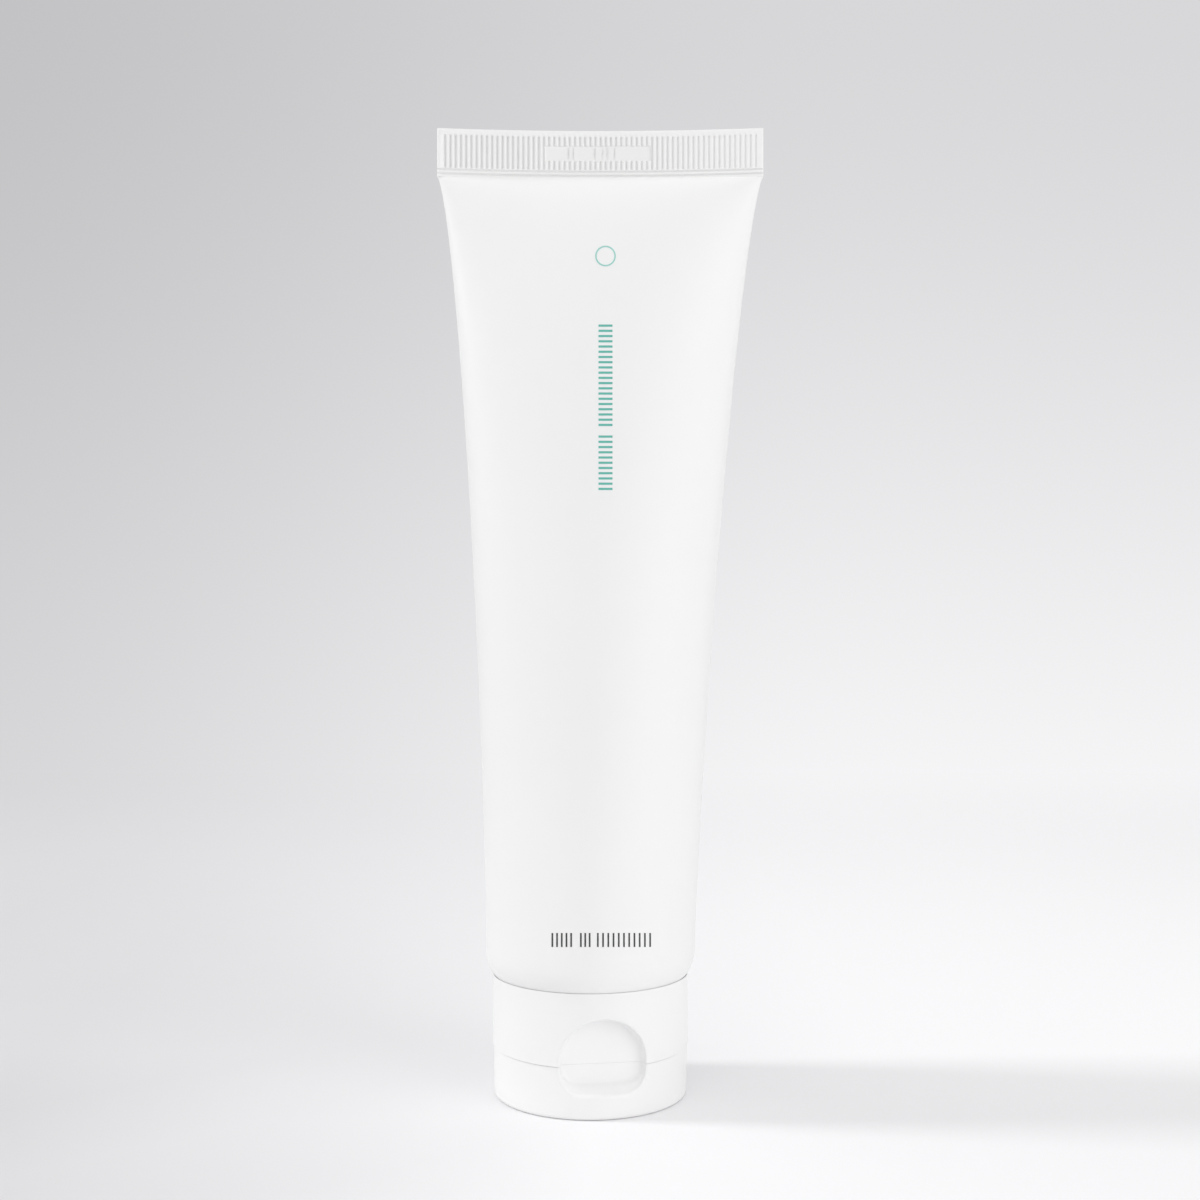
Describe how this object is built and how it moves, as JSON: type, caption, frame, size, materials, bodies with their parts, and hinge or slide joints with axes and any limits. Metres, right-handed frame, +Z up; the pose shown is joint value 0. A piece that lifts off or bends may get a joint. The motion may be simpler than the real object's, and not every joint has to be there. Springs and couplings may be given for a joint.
{
  "type": "toothpaste tube",
  "caption": "Soft plastic squeeze tube with a crimped flat end, filled with paste, standing on a round flip-top cap whose lid opens on a film hinge.",
  "frame": {"origin": "centre of the lid's flat standing face, on the cap's axis", "axes": "+Z up along the cap's axis towards the crimped end, -Y to the printed front, +X to the right as seen from the front"},
  "size_m": [0.0598, 0.038, 0.1759],
  "materials": {
    "sleeve": "white satin soft plastic",
    "head": "white moulded plastic",
    "paste": null,
    "cap": "white moulded plastic, soft gloss",
    "lid": "white moulded plastic, soft gloss"
  },
  "bodies": {
    "tube": {"tube_sleeve": "sleeve", "tube_head": "head", "toothpaste": "paste", "cap_base": "cap"},
    "lid": {"cap_lid": "lid"}
  },
  "joints": [
    {"name": "lid_hinge", "type": "hinge", "parent": "tube", "child": "lid", "pos_m": [-0.0025, 0.01712, 0.00905], "axis": [0.9895, 0.1444, 0], "range_deg": [0, 180]}
  ]
}
